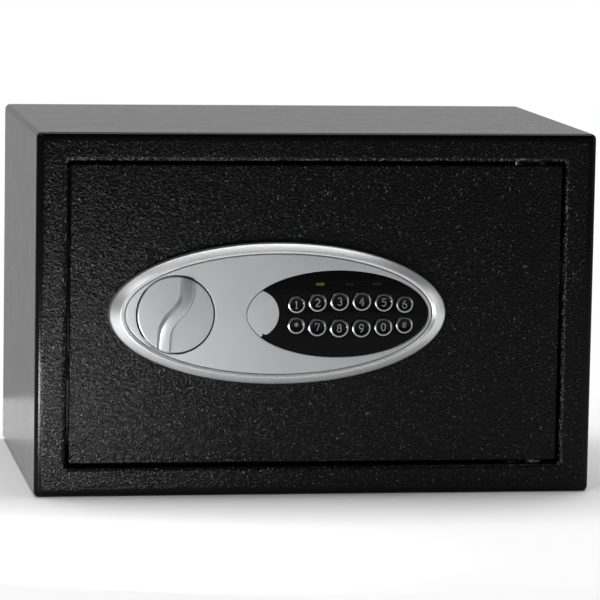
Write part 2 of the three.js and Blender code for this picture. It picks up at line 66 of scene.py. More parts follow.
def front_rect(node):
    """A CAD node's rectangle in X and Z."""
    low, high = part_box(node)
    return (low.x, high.x, low.z, high.z)


DOOR_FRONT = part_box("door_plate")[0].y


def above_door(x, z, height):
    """A point in front of the door by so many millimetres."""
    return Vector((x, DOOR_FRONT - height * MM, z))


# ---------------------------------------------------------------- materials
def node(tree, kind, inputs=(), **settings):
    """A shader node. An input is either linked to a socket or given a value."""
    made = tree.nodes.new("ShaderNode" + kind)
    for key, value in settings.items():
        setattr(made, key, value)
    for key, value in dict(inputs).items():
        if isinstance(value, bpy.types.NodeSocket):
            tree.links.new(value, made.inputs[key])
        else:
            made.inputs[key].default_value = value
    return made


def noise(tree, where, scale, detail=3.0, rough=0.5, stretch=(1, 1, 1)):
    """A noise pattern with so many features to the metre."""
    placed = node(tree, "Mapping", {"Vector": where, "Scale": stretch}).outputs[0]
    return node(
        tree, "TexNoise", {"Vector": placed, "Scale": scale, "Detail": detail, "Roughness": rough}
    ).outputs["Fac"]


def ramp(tree, value, low, high, to_low=0.0, to_high=1.0):
    """Maps low to high onto another range, and holds its ends."""
    inputs = {"Value": value, 1: low, 2: high, 3: to_low, 4: to_high}
    return node(tree, "MapRange", inputs, clamp=True).outputs[0]


def maths(tree, a, b, operation="MULTIPLY"):
    return node(tree, "Math", {0: a, 1: b}, operation=operation).outputs[0]


def tint(colour, by):
    """A colour made lighter or darker, with its alpha."""
    return (*[min(1.0, c * by) for c in colour], 1.0)


def begin(name, metal=0.0, **fixed):
    """A material's tree, its shader and its object coordinates."""
    made = bpy.data.materials.new(name)
    made.use_nodes = True
    tree = made.node_tree
    shader = tree.nodes["Principled BSDF"]
    shader.inputs["Metallic"].default_value = metal
    for key, value in fixed.items():
        shader.inputs[key.replace("_", " ")].default_value = value
    where = tree.nodes.new("ShaderNodeTexCoord").outputs["Object"]
    return made, tree, shader, where


def drift(tree, shader, where, colour, rough, grade=0.15, patch=35.0, spread=0.12):
    """Slow changes of colour and roughness over the surface."""
    cloud = noise(tree, where, patch, 4.0)
    mixed = node(
        tree,
        "Mix",
        {"Factor": ramp(tree, cloud, 0.3, 0.7), 6: tint(colour, 1 - grade), 7: tint(colour, 1 + grade)},
        data_type="RGBA",
    ).outputs[2]
    tree.links.new(mixed, shader.inputs["Base Color"])
    wear_and_glint = noise(tree, where, patch * 2.6, 5.0, 0.6)
    tree.links.new(
        ramp(tree, wear_and_glint, 0.3, 0.7, rough * (1 - spread), rough * (1 + spread)),
        shader.inputs["Roughness"],
    )


def bump(tree, shader, height, strength, distance):
    inputs = {"Height": height, "Strength": strength, "Distance": distance}
    tree.links.new(node(tree, "Bump", inputs).outputs[0], shader.inputs["Normal"])


def pushed_about(tree, where, scale, detail, reach):
    """Coordinates pushed about by a swirling noise, by up to so many metres."""
    swirl = node(tree, "TexNoise", {"Vector": where, "Scale": scale, "Detail": detail}).outputs["Color"]
    offset = node(tree, "VectorMath", {0: swirl, "Scale": reach}, operation="SCALE").outputs[0]
    return node(tree, "VectorMath", {0: where, 1: offset}, operation="ADD").outputs[0]


SATIN_DEPTH = 0.02 * MM
BRUSH_LINES, BRUSH_DEPTH = 3500.0, 0.01 * MM


def satin(name, colour, rough, metal=0.0, fine=2500.0, strength=0.3, patchy=0.12, **fixed):
    """A plain finish with a fine surface texture, and soft patches that differ in colour and gloss."""
    made, tree, shader, where = begin(name, metal, **fixed)
    drift(tree, shader, where, colour, rough, patchy, spread=patchy)
    bump(tree, shader, noise(tree, where, fine, 2.0), strength, SATIN_DEPTH)
    return made


def brushed(name, colour, rough, stretch):
    """Metal with fine lines along the axis where the stretch is smallest."""
    made, tree, shader, where = begin(name, 1.0)
    drift(tree, shader, where, colour, rough, 0.08)
    bump(tree, shader, noise(tree, where, BRUSH_LINES, 2.0, 0.6, stretch), 0.15, BRUSH_DEPTH)
    return made


# The coat's grain: its scale in features to the metre, and how high a pebble stands before its crest takes a painted
# glint.
PEBBLES, PEBBLE_STRETCH = 850.0, (1.25, 1.0, 0.9)
SWIRLS, SWIRL_REACH = 420.0, 2.2 * MM
GLINT_START, GLINT_FULL = 0.652, 0.722
MOST_GLINT, GLINT_LIFT = 2.3, 0.11


def textured_coat(name, colour, grain_of_mesh=False, depth=0.5 * MM, grain=1.0, crest=75.0):
    """Black powder coat with a leathery grain of about a millimetre, its crests lightened as painted glints.

    A mesh's own grain value is the share of the grain and of its painted glints that shows. Above 1 it adds more
    painted glints, a painted highlight.
    """
    made, tree, shader, where = begin(name, 0.0, Specular_IOR_Level=0.115)
    drift(tree, shader, where, colour, 0.15, 0.2, 20.0, 0.1)
    bent = pushed_about(tree, where, SWIRLS, 2.0, SWIRL_REACH)
    pebbles = noise(tree, bent, PEBBLES, 2.0, 0.5, PEBBLE_STRETCH)
    amount, wear_and_glint = grain, pebbles
    if grain_of_mesh:
        painted = node(tree, "Attribute", attribute_name="grain").outputs["Fac"]
        amount = ramp(tree, painted, 0.0, 1.0, 0.0, grain)
        # Above a grain value of 1 the pebbles are lifted so that more crests take the painted glint: a painted
        # highlight along the rolled edge.
        wear_and_glint = maths(tree, pebbles, ramp(tree, painted, 1.0, MOST_GLINT, 0.0, GLINT_LIFT), "ADD")
    # Painted glints: a lighter colour on the pebbles' crests that stands in for small reflections of the lamps.
    painted_glints = ramp(tree, wear_and_glint, GLINT_START, GLINT_FULL)
    if grain_of_mesh:
        # The mesh's grain value, squared, scales the painted glints.
        painted_glints = maths(tree, painted_glints, maths(tree, painted, 2.0, "POWER"))
    limited = maths(tree, painted_glints, 1.0, "MINIMUM")
    # The crests' colour is the coat's colour times crest, a painted glint.
    coats = {"Factor": limited, 6: tint(colour, 1.0), 7: tint(colour, crest)}
    tree.links.new(node(tree, "Mix", coats, data_type="RGBA").outputs[2], shader.inputs["Base Color"])
    bump(tree, shader, pebbles, amount, depth)
    return made


# Each coat paints glints on its grain's crests. The cover's glints are faint.
COAT = textured_coat("cabinet_coat", (0.0011, 0.0011, 0.0012), grain_of_mesh=True)
DOOR_COAT = textured_coat("door_coat", (0.0011, 0.0011, 0.0012))
FINE_COAT = textured_coat("cover_coat", (0.010, 0.010, 0.011), depth=0.1 * MM, grain=0.6, crest=2.0)
BEZEL = satin("silver_bezel", (0.66, 0.663, 0.67), 0.31, 0.8, patchy=0.04, strength=0.04)
PLATE = satin("silver_plate", (0.34, 0.343, 0.349), 0.42, 0.4, patchy=0.03, strength=0.06)
KNOB = satin("silver_knob", (0.40, 0.403, 0.41), 0.31, 0.78, patchy=0.02, strength=0.02)
RING = satin("bright_ring", (0.28, 0.284, 0.292), 0.22, 1.0, patchy=0.05, strength=0.05)
PANEL = satin("panel_black", (0.0012, 0.0012, 0.0014), 0.1, 0.0, strength=0.03, Specular_IOR_Level=0.08)
CAP_BLACK = satin("key_black", (0.0015, 0.0015, 0.0018), 0.16, 0.0, strength=0.05, Specular_IOR_Level=0.1)
NUMERAL = satin("key_numeral", (0.16, 0.16, 0.16), 0.5, Specular_IOR_Level=0.2)
ZINC = brushed("zinc_plate", (0.60, 0.61, 0.60), 0.34, (0.06, 1.0, 1.0))
STEEL = brushed("bright_steel", (0.66, 0.67, 0.68), 0.24, (1.0, 0.06, 1.0))
DARK_STEEL = satin("blackened_steel", (0.012, 0.012, 0.013), 0.4, 0.5)
NYLON = satin("black_nylon", (0.01, 0.01, 0.011), 0.5, strength=0.2)
BOARD = satin("circuit_board", (0.012, 0.07, 0.03), 0.35)
RUBBER = satin("key_rubber", (0.11, 0.11, 0.12), 0.75)
BRASS = brushed("lock_brass", (0.72, 0.52, 0.22), 0.28, (1.0, 0.1, 1.0))
COPPER = satin("copper_coil", (0.42, 0.14, 0.045), 0.3, 0.6)
RED_LEAD = satin("lead_red", (0.4, 0.02, 0.015), 0.42)
BLACK_LEAD = satin("lead_black", (0.012, 0.012, 0.013), 0.45)
SLEEVE = satin("battery_sleeve", (0.06, 0.065, 0.075), 0.28, 0.6)
BAND = satin("battery_band", (0.45, 0.2, 0.06), 0.26, 0.7)
CASE = satin("case_black", (0.015, 0.015, 0.016), 0.5, fine=1400.0, strength=0.35)
BUTTON = satin("button_red", (0.5, 0.025, 0.02), 0.35)


def felt(name, colour):
    """Needle felt: short tangled fibres, a little lighter where they stand up."""
    sheen = {"Sheen_Weight": 0.35, "Sheen_Roughness": 0.5}
    made, tree, shader, where = begin(name, 0.0, Specular_IOR_Level=0.2, **sheen)
    drift(tree, shader, where, colour, 0.95, 0.25, 60.0, 0.04)
    tangled = pushed_about(tree, where, 240.0, 3.0, 12.0 * MM)
    bump(tree, shader, noise(tree, tangled, 900.0, 4.0, 0.7), 0.9, 0.6 * MM)
    return made


FELT = felt("grey_felt", (0.03, 0.031, 0.034))
LIGHTS = {
    "light_green": satin("light_green", (0.06, 0.067, 0.005), 0.3, Specular_IOR_Level=0.1),
    "light_red": satin("light_red", (0.019, 0.0035, 0.004), 0.3, Specular_IOR_Level=0.1),
    "light_amber": satin("light_amber", (0.0075, 0.011, 0.0085), 0.3, Specular_IOR_Level=0.1),
}


# ---------------------------------------------------------------- mesh tools
def finish_piece(name, bm, materials, body, replaced=(), sharp=35.0, weighted=True):
    """Turns a bmesh into a piece that rides on a body: smooth but for its sharp edges, and flat faces kept flat."""
    bmesh.ops.remove_doubles(bm, verts=bm.verts, dist=1e-7)
    bmesh.ops.recalc_face_normals(bm, faces=bm.faces)
    for face in bm.faces:
        face.smooth = True
    for edge in bm.edges:
        if len(edge.link_faces) == 2 and edge.calc_face_angle(0) > math.radians(sharp):
            edge.smooth = False
    mesh = bpy.data.meshes.new(name)
    bm.to_mesh(mesh)
    bm.free()
    for m in materials:
        mesh.materials.append(m)
    piece = bpy.data.objects.new(name, mesh)
    scene.collection.objects.link(piece)
    if weighted:
        keep_flat(piece)
    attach(piece, body)
    if replaced:
        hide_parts(*replaced)
    return piece


def keep_flat(piece):
    """Lets the large faces set the shading, so that flat faces look flat beside rounded edges."""
    modifier = piece.modifiers.new("weighted", "WEIGHTED_NORMAL")
    modifier.keep_sharp = True
    modifier.weight = 100


def softened(points, radius, steps=4):
    """A polyline with its inner corners rounded over."""
    points = [Vector(p) for p in points]
    made = [points[0]]
    for before, corner, after in zip(points, points[1:], points[2:]):
        reach = min(radius, 0.45 * (before - corner).length, 0.45 * (after - corner).length)
        a = corner + (before - corner).normalized() * reach
        b = corner + (after - corner).normalized() * reach
        for i in range(steps + 1):
            t = i / steps
            made.append((1 - t) ** 2 * a + 2 * t * (1 - t) * corner + t * t * b)
    return made + [points[-1]]


def revolve(bm, profile, place, count=96, material=0):
    """Skins a profile round. Each entry is (half width, half height, height) and place puts one in the frame."""
    loops = []
    for a, b, h in profile:
        turns = count if a > 0 else 1
        angles = [2 * math.pi * i / count for i in range(turns)]
        loops.append([bm.verts.new(place(a * math.cos(t), b * math.sin(t), h)) for t in angles])
    for lower, upper in zip(loops, loops[1:]):
        for i in range(count):
            j = (i + 1) % count
            corners = (lower[i % len(lower)], lower[j % len(lower)], upper[j % len(upper)], upper[i % len(upper)])
            face = bm.faces.new(list(dict.fromkeys(corners)))
            face.material_index = material


def facing(centre):
    """Places a profile in millimetres about an axis towards the front, with heights above the door."""
    return lambda x, z, h: above_door(centre.x + x * MM, centre.z + z * MM, h)


def round_profile(pairs, radius=0.0):
    """A profile of (radius, height) for a round piece, with its corners rounded over."""
    triples = [(r, r, h) for r, h in pairs]
    return softened(triples, radius, 3) if radius else triples


CORNER_STEPS = 5


def rect_ring(rect, radius, y):
    """A rounded rectangle in X and Z as a ring of points."""
    x0, x1, z0, z1 = grown(rect, -radius)
    made = []
    for cx, cz, start in [(x1, z1, 0), (x0, z1, 90), (x0, z0, 180), (x1, z0, 270)]:
        for i in range(CORNER_STEPS + 1):
            t = math.radians(start + 90 * i / CORNER_STEPS)
            made.append(Vector((cx + radius * math.cos(t), y, cz + radius * math.sin(t))))
    return made


def rect_outline(rect, radius):
    """A rounded rectangle as pairs, for cut_plate."""
    return [(p.x, p.z) for p in rect_ring(rect, radius, 0)]


def grown(rect, by):
    x0, x1, z0, z1 = rect
    return (x0 - by, x1 + by, z0 - by, z1 + by)


def loft(bm, rings, wrap=False):
    """Skins rings with the same number of points one after another."""
    loops = [[bm.verts.new(p) for p in ring] for ring in rings]
    pairs = list(zip(loops, loops[1:]))
    if wrap:
        pairs.append((loops[-1], loops[0]))
    for a, b in pairs:
        for i in range(len(a)):
            j = (i + 1) % len(a)
            bm.faces.new((a[i], a[j], b[j], b[i]))
    return loops


def capped(bm, rings):
    """Skins rings and closes both ends."""
    loops = loft(bm, rings)
    bm.faces.new(loops[0])
    bm.faces.new(loops[-1][::-1])


def circle(centre, a, b=None, count=72):
    """A circle, or an oval with two half sizes, in X and Z."""
    b = a if b is None else b
    turns = [2 * math.pi * i / count for i in range(count)]
    return [(centre.x + a * math.cos(t), centre.z + b * math.sin(t)) for t in turns]


def cut_plate(
    name, outline, holes, back, front, edge, materials, body, replaced=(), round_steps=2, lying=False
):
    """A plate with holes, from one depth to another, its edges rounded over.

    It stands in X and Z, or lies in X and Y with its depths along Z.
    """
    curve = bpy.data.curves.new(name, "CURVE")
    curve.dimensions = "2D"
    curve.fill_mode = "BOTH"
    for loop in [outline, *[hole[::-1] for hole in holes]]:
        spline = curve.splines.new("POLY")
        spline.points.add(len(loop) - 1)
        spline.use_cyclic_u = True
        for point, (x, z) in zip(spline.points, loop):
            point.co = (x, z, 0, 1)
    curve.extrude = (back - front) / 2 - edge
    curve.bevel_depth = edge
    curve.bevel_resolution = round_steps
    curve.offset = -edge
    maker = bpy.data.objects.new(name + "_maker", curve)
    scene.collection.objects.link(maker)
    bpy.context.view_layer.update()
    flat = bpy.data.meshes.new_from_object(maker.evaluated_get(bpy.context.evaluated_depsgraph_get()))
    bpy.data.objects.remove(maker)
    bm = bmesh.new()
    bm.from_mesh(flat)
    bpy.data.meshes.remove(flat)
    for face in bm.faces:
        face.material_index = 0
    middle = (back + front) / 2
    turn = Matrix.Translation((0, middle, 0)) @ Matrix.Rotation(math.pi / 2, 4, "X")
    if lying:
        turn = Matrix.Translation((0, 0, middle))
    bmesh.ops.transform(bm, matrix=turn, verts=bm.verts)
    bmesh.ops.remove_doubles(bm, verts=bm.verts, dist=1e-6)
    return finish_piece(name, bm, materials, body, replaced, 50.0)


def ribbon(bm, line, width, y, thick, material):
    """A flat raised stroke along a line in X and Z."""
    points = [Vector((x, z)) for x, z in line]
    sides = []
    for i, p in enumerate(points):
        ahead = points[min(i + 1, len(points) - 1)] - points[max(i - 1, 0)]
        normal = Vector((-ahead.y, ahead.x)).normalized() * width / 2
        sides.append((p + normal, p - normal))
    top = [[bm.verts.new((q.x, y, q.y)) for q in pair] for pair in sides]
    low = [[bm.verts.new((q.x, y + thick, q.y)) for q in pair] for pair in sides]
    quads = []
    for i in range(len(points) - 1):
        quads.append((top[i][0], top[i][1], top[i + 1][1], top[i + 1][0]))
        quads.append((top[i][0], top[i + 1][0], low[i + 1][0], low[i][0]))
        quads.append((top[i][1], low[i][1], low[i + 1][1], top[i + 1][1]))
        quads.append((low[i][0], low[i + 1][0], low[i + 1][1], low[i][1]))
    quads.append((top[0][0], low[0][0], low[0][1], top[0][1]))
    quads.append((top[-1][0], top[-1][1], low[-1][1], low[-1][0]))
    for quad in quads:
        bm.faces.new(quad).material_index = material


def tool_mesh(bm):
    """Turns a bmesh into a mesh to cut with."""
    bmesh.ops.recalc_face_normals(bm, faces=bm.faces)
    mesh = bpy.data.meshes.new("cutter")
    bm.to_mesh(mesh)
    bm.free()
    return mesh


def cutter(axis, at, radius, start, end, count=48):
    """A round bar used to cut a hole, along Y or Z."""
    bm = bmesh.new()
    places = {
        "y": lambda a, b, h: Vector((at[0] + a, h, at[1] + b)),
        "z": lambda a, b, h: Vector((at[0] + a, at[1] + b, h)),
    }
    profile = [(0, 0, start), (radius, radius, start), (radius, radius, end), (0, 0, end)]
    revolve(bm, profile, places[axis], count)
    return tool_mesh(bm)


def drill(piece, cutters, operation="DIFFERENCE"):
    """Cuts holes in a piece ahead of its other modifiers. INTERSECT keeps what lies inside the cutters instead."""
    for mesh in cutters:
        tool = bpy.data.objects.new("tool", mesh)
        scene.collection.objects.link(tool)
        modifier = piece.modifiers.new("hole", "BOOLEAN")
        modifier.operation = operation
        modifier.object = tool
        modifier.solver = "EXACT"
        while piece.modifiers[0] != modifier:
            with bpy.context.temp_override(object=piece, active_object=piece):
                bpy.ops.object.modifier_move_up(modifier=modifier.name)
        with bpy.context.temp_override(object=piece, active_object=piece):
            bpy.ops.object.modifier_apply(modifier=modifier.name)
        bpy.data.objects.remove(tool)


def dress(name, material, bevel):
    """Gives a CAD node its material and small rounded edges, in millimetres."""
    cad = frame["nodes"][name]
    cad.data.materials.clear()
    cad.data.materials.append(material)
    weld = cad.modifiers.new("weld", "WELD")
    weld.merge_threshold = 1e-6
    if bevel:
        modifier = cad.modifiers.new("edges", "BEVEL")
        modifier.width = bevel * MM
        modifier.segments = 2
        modifier.limit_method = "ANGLE"
        modifier.angle_limit = math.radians(35)


# ---------------------------------------------------------------- cabinet
FRAME_LOW, FRAME_HIGH, _ = span("front_frame")
DOOR_LOW, DOOR_HIGH, _ = span("door_plate")
OUTER = front_rect("body_shell")
SIDE_GAP, END_GAP = 1.8 * MM, 2.0 * MM  # round the door
OPENING = (DOOR_LOW.x - SIDE_GAP, DOOR_HIGH.x + SIDE_GAP, DOOR_LOW.z - END_GAP, DOOR_HIGH.z + END_GAP)
PIN_HOLE, ANCHOR_HOLE, MAT_HOLE = 2.8 * MM, 5 * MM, 8 * MM  # radii


def glint_share(place):
    """How much of the painted highlight along the opening's rolled edge shows on each of its sides."""
    if place.z > OPENING[3] - MM:
        return 1.0
    if place.x > OPENING[1] - MM:
        return 0.8
    return 0.6 if place.x < OPENING[0] + MM else 0.0


def cabinet_skin():
    """Sides, top, floor, front ring and return flange as one folded and welded sheet."""
    front, flange_end, back = FRAME_LOW.y, FRAME_HIGH.y, span("body_shell")[1].y
    bend, sheet, flange = 2.5 * MM, 1.2 * MM, 2.0 * MM
    corner, inner = 3.0 * MM, 1.5 * MM
    # The second number is a painted highlight along the opening's rolled edge, where the bend catches the light.
    smooth_side, edge_glint = 0.2, 1.3
    steps = 5
    rings, grain = [], []

    def ring(rect, radius, y, amount):
        """One ring round the sheet's section, and how much of the grain shows there. Above 1 it paints a highlight.
        """
        rings.append(rect_ring(rect, radius, y))
        grain.append(amount)

    for y in (back, back - 60 * MM, front + 40 * MM):
        ring(OUTER, corner, y, smooth_side)
    for i in range(steps + 1):
        t = math.pi / 2 * i / steps
        inset = bend * (1 - math.cos(t))
        ring(grown(OUTER, -inset), corner - 0.5 * inset, front + bend * (1 - math.sin(t)), 0.12)
    for inset, amount in ((3.6 * MM, 0.15), (5.2 * MM, 1.0)):
        ring(grown(OUTER, -inset), 1.8 * MM, front, amount)
    for i in range(steps + 1):
        t = math.pi / 2 * i / steps
        out = bend * (1 - math.sin(t))
        # Over the rolled edge the grain value rises above 1 as a painted highlight.
        ring(grown(OPENING, out), inner + out, front + bend * (1 - math.cos(t)), 1.0 + edge_glint * math.sin(2 * t))
    ring(OPENING, inner, flange_end, 0.6)
    ring(grown(OPENING, flange), inner + flange, flange_end, 0.6)
    ring(grown(OPENING, flange), inner + flange, front + bend, 0.4)
    ring(grown(OUTER, -bend), inner, front + bend, 0.4)
    ring(grown(OUTER, -sheet), corner - sheet, front + bend + 2 * MM, 0.4)
    ring(grown(OUTER, -sheet), corner - sheet, back, 0.4)
    bm = bmesh.new()
    layer = bm.verts.layers.float.new("grain")
    for loop, amount in zip(loft(bm, rings, wrap=True), grain):
        for vert in loop:
            # The part above 1 is the painted highlight, shared out over the rolled edge's sides.
            vert[layer] = min(amount, 1.0) + max(amount - 1.0, 0.0) * glint_share(vert.co)
    replaced = ("body_shell", "front_frame")
    made = finish_piece("cabinet_skin", bm, [COAT], "cabinet", replaced, 40.0)
    pin = span("hinge_pin_upper")[2]
    holes = [cutter("z", (pin.x, pin.y), PIN_HOLE, z - 6 * MM, z + 6 * MM) for z in (OPENING[2], OPENING[3])]
    holes += [cutter("z", (x, y), ANCHOR_HOLE, -MM, 3 * MM) for x, y in anchor_holes("base")]
    drill(made, holes)


def anchor_holes(kind):
    """The centres of the anchor holes, from the openings that the record states."""
    found = []
    for opening in frame["record"]["physics"]["openings"]:
        if opening["name"].startswith(kind + "_anchor"):
            low, high = opening["box_m"]
            mid = [(a + b) / 2 for a, b in zip(low, high)]
            found.append((mid[0], mid[1] if kind == "base" else mid[2]))
    return found


cabinet_skin()
low, high, _ = span("back_panel")
cut_plate(
    "back_sheet",
    rect_outline(front_rect("back_panel"), 1.8 * MM),
    [circle(Vector((x, 0, z)), ANCHOR_HOLE, count=40) for x, z in anchor_holes("back")],
    high.y, low.y, 0.25 * MM, [FINE_COAT], "cabinet", ("back_panel",),
)

# ---------------------------------------------------------------- door
KNOB_AT = span("knob")[2]
LOCK_AT = span("override_lock_body")[2]
SPINDLE_HOLE, CABLE_HOLE, LOCK_CLEARANCE = 5 * MM, 6 * MM, 0.35 * MM
CABLE_AT = Vector((span("battery_lead")[0].x - 0.25 * MM, 0, LOCK_AT.z))
door_holes = [
    circle(KNOB_AT, SPINDLE_HOLE, count=32),
    circle(LOCK_AT, half("override_lock_body").x + LOCK_CLEARANCE, count=32),
    circle(CABLE_AT, CABLE_HOLE, count=32),
]
cut_plate(
    "door_skin", rect_outline(front_rect("door_plate"), 1.5 * MM), door_holes,
    DOOR_HIGH.y, DOOR_LOW.y, 0.8 * MM, [DOOR_COAT], "door", ("door_plate",), 3,
)

# ---------------------------------------------------------------- lock fascia
BEZEL_AT = span("fascia_bezel")[2]
BEZEL_HALF = half("fascia_bezel") / MM
PLATE_LOW, PLATE_HIGH, PLATE_AT = span("fascia_plate")
PLATE_HALF = half("fascia_plate") / MM
INSERT_AT = Vector((10.75 * MM, 0, 101.35 * MM))
INSERT_HALF = (50.75 * MM, 23.95 * MM)  # the opening in the plate for the keypad and the cover
KNOB_GAP, KEY_GAP, LIGHT_GAP, INSERT_GAP, CAP_GAP = 0.4 * MM, 0.3 * MM, 0.2 * MM, 0.35 * MM, 0.25 * MM


def bezel():
    """The oval ring: an outer wall, a wide bevel, a narrow crest and a small step down to the plate."""
    # How far each ring lies inside the outline, across and up, and its height above the door.
    insets = [
        (11.0, 8.5, 0.0), (11.0, 8.5, 5.7), (8.0, 5.5, 5.7), (8.0, 5.5, 7.6), (7.5, 5.1, 8.1),
        (6.7, 4.6, 8.2), (6.2, 4.2, 8.95), (5.7, 3.8, 9.0), (0.5, 0.35, 5.7), (0.0, 0.0, 5.0), (0.0, 0.0, 0.0),
    ]
    rings = [(BEZEL_HALF.x - across, BEZEL_HALF.z - up, h) for across, up, h in insets]
    bm = bmesh.new()
    profile = softened(rings, 0.35, 3)
    revolve(bm, [*profile, profile[0]], facing(BEZEL_AT), 160)
    finish_piece("bezel_ring", bm, [BEZEL], "door", ("fascia_bezel",), 60.0, weighted=False)


bezel()
cut_plate(
    "plate_oval",
    circle(PLATE_AT, PLATE_HALF.x * MM, PLATE_HALF.z * MM, 160),
    [circle(KNOB_AT, half("knob").x + KNOB_GAP, count=96), circle(INSERT_AT, *INSERT_HALF, 128)],
    PLATE_HIGH.y, PLATE_LOW.y, 0.45 * MM, [PLATE], "door", ("fascia_plate",),
)

KEY_NAMES = ["1", "2", "3", "4", "5", "6", "star", "7", "8", "9", "0", "hash"]
KEY_RIM = 0.6 * MM
CAP_AT = Vector((-35.4 * MM, 0, 101.6 * MM))
CAP_RADIUS = 13.5 * MM
NOTCH_DEPTH, NOTCH_WIDTH = 1.5 * MM, 0.75 * MM


def ray_to_oval(origin, direction, centre, a, b):
    """How far from origin along direction the oval lies."""
    ox, oz = (origin.x - centre.x) / a, (origin.z - centre.z) / b
    dx, dz = direction.x / a, direction.z / b
    aa, bb, cc = dx * dx + dz * dz, ox * dx + oz * dz, ox * ox + oz * oz - 1
    return (-bb + math.sqrt(bb * bb - aa * cc)) / aa


def cap_outline(margin, notch=0.0):
    """The left end of the keypad oval, bounded on its right by a circle, with a finger notch at the bottom."""
    centre = Vector((CAP_AT.x + 1.0 * MM, 0, CAP_AT.z))
    notch_at = Vector((4.1 * MM, 0, -12.5 * MM)).normalized()
    made, count = [], 120
    for i in range(count):
        t = 2 * math.pi * i / count
        d = Vector((math.cos(t), 0, math.sin(t)))
        reach = min(
            ray_to_oval(centre, d, INSERT_AT, INSERT_HALF[0] + margin, INSERT_HALF[1] + margin),
            ray_to_oval(centre, d, CAP_AT, CAP_RADIUS + margin, CAP_RADIUS + margin),
        )
        off = d.cross(notch_at).length * reach
        if d.dot(notch_at) > 0:
            reach -= notch * math.exp(-((off / NOTCH_WIDTH) ** 2))
        made.append((centre.x + d.x * reach, centre.z + d.z * reach))
    return made


def key_box(name):
    """The middle of a key, and its radius inside the rim that holds it."""
    low, high, centre = span("key_" + name)
    return centre, (high.x - low.x) / 2 - KEY_RIM


key_holes = [circle(centre, r + KEY_GAP, count=48) for centre, r in map(key_box, KEY_NAMES)]
light_holes = [rect_outline(grown(front_rect(light), LIGHT_GAP), 0.4 * MM) for light in LIGHTS]
panel_outline = circle(INSERT_AT, INSERT_HALF[0] - INSERT_GAP, INSERT_HALF[1] - INSERT_GAP, 128)
PANEL_BACK = DOOR_FRONT - 5.0 * MM
cut_plate(
    "panel_oval", panel_outline, [*key_holes, *light_holes, cap_outline(CAP_GAP)],
    PANEL_BACK, span("keypad_panel")[0].y, 0.3 * MM, [PANEL], "door", ("keypad_panel",),
)
low, high, _ = span("override_cap")
cut_plate(
    "lock_cover", cap_outline(-CAP_GAP, NOTCH_DEPTH), [], high.y, low.y, 0.4 * MM, [PLATE], "override_cap",
    ("override_cap",),
)


def arc(cx, cy, rx, ry, start, end, steps=12):
    """Points on part of an oval, between two angles in degrees."""
    turn = [math.radians(start + (end - start) * i / steps) for i in range(steps + 1)]
    return [(cx + rx * math.cos(t), cy + ry * math.sin(t)) for t in turn]


# The strokes of each key's sign, in a box one high, with its middle at the origin.
GLYPHS = {
    "1": [[(-0.17, 0.34), (0, 0.5)], [(0, 0.5), (0, -0.5)], [(-0.17, -0.5), (0.17, -0.5)]],
    "2": [arc(0, 0.22, 0.27, 0.28, 165, -35) + [(-0.27, -0.5)], [(-0.29, -0.5), (0.3, -0.5), (0.33, -0.33)]],
    "3": [arc(0, 0.25, 0.23, 0.25, 155, -90), arc(0, -0.24, 0.28, 0.26, 90, -155)],
    "4": [[(0.12, 0.5), (-0.3, -0.2), (0.32, -0.2)], [(0.12, 0.5), (0.12, -0.5)], [(-0.02, -0.5), (0.27, -0.5)]],
    "5": [[(0.24, 0.5), (-0.17, 0.5), (-0.21, 0.06)], arc(0, -0.18, 0.27, 0.32, 135, -150)],
    "6": [arc(0, -0.2, 0.27, 0.3, 0, 360, 20), arc(0.16, -0.2, 0.43, 0.7, 178, 92)],
    "7": [[(-0.27, 0.34), (-0.25, 0.5), (0.28, 0.5), (-0.04, -0.5)]],
    "8": [arc(0, 0.26, 0.21, 0.24, 0, 360, 18), arc(0, -0.24, 0.27, 0.26, 0, 360, 18)],
    "9": [arc(0, 0.2, 0.27, 0.3, 0, 360, 20), arc(-0.16, 0.2, 0.43, 0.7, -2, -88)],
    "0": [arc(0, 0, 0.27, 0.5, 0, 360, 24)],
    "star": [[(0, 0.42), (0, -0.22)], [(-0.28, 0.26), (0.28, -0.06)], [(-0.28, -0.06), (0.28, 0.26)]],
    "hash": [
        [(-0.06, 0.4), (-0.16, -0.4)], [(0.16, 0.4), (0.06, -0.4)],
        [(-0.3, 0.14), (0.3, 0.14)], [(-0.3, -0.14), (0.3, -0.14)],
    ],
}
GLYPH_HEIGHT, STROKE, STAR_STROKE = 4.1 * MM, 0.52 * MM, 0.45 * MM
GLYPH_BELOW, GLYPH_THICK = 0.34 * MM, 0.15 * MM  # below the key's top


def key(name):
    """A black cap in a bright ring, with a printed numeral."""
    centre, r = key_box(name)
    low, high, _ = span("key_" + name)
    r /= MM
    top, back = (DOOR_FRONT - low.y) / MM, (DOOR_FRONT - high.y) / MM
    bm = bmesh.new()
    dish = [(0, top - 0.45), (r * 0.45, top - 0.4), (r - 1.1, top - 0.22)]
    revolve(bm, round_profile(dish), facing(centre), 56, 0)
    inside = [(r - 1.1, top - 0.22), (r - 1.0, top - 0.02), (r - 0.85, top)]
    outside = [(r - 0.12, top - 0.26), (r, top - 0.45), (r, back + 1.0)]
    revolve(bm, round_profile(inside + outside, 0.1), facing(centre), 56, 1)
    rim = r + KEY_RIM / MM
    foot = [(r, back + 1.0), (rim, back + 1.0), (rim, back), (0, back)]
    revolve(bm, round_profile(foot), facing(centre), 56, 0)
    y = DOOR_FRONT - top * MM + GLYPH_BELOW
    for stroke in GLYPHS[name]:
        line = [(centre.x + u * GLYPH_HEIGHT, centre.z + v * GLYPH_HEIGHT) for u, v in stroke]
        ribbon(bm, line, STAR_STROKE if name == "star" else STROKE, y, GLYPH_THICK, 2)
    cad = "key_" + name
    finish_piece("keytop_" + name, bm, [CAP_BLACK, RING, NUMERAL], cad, (cad,), 50.0)


for name in KEY_NAMES:
    key(name)

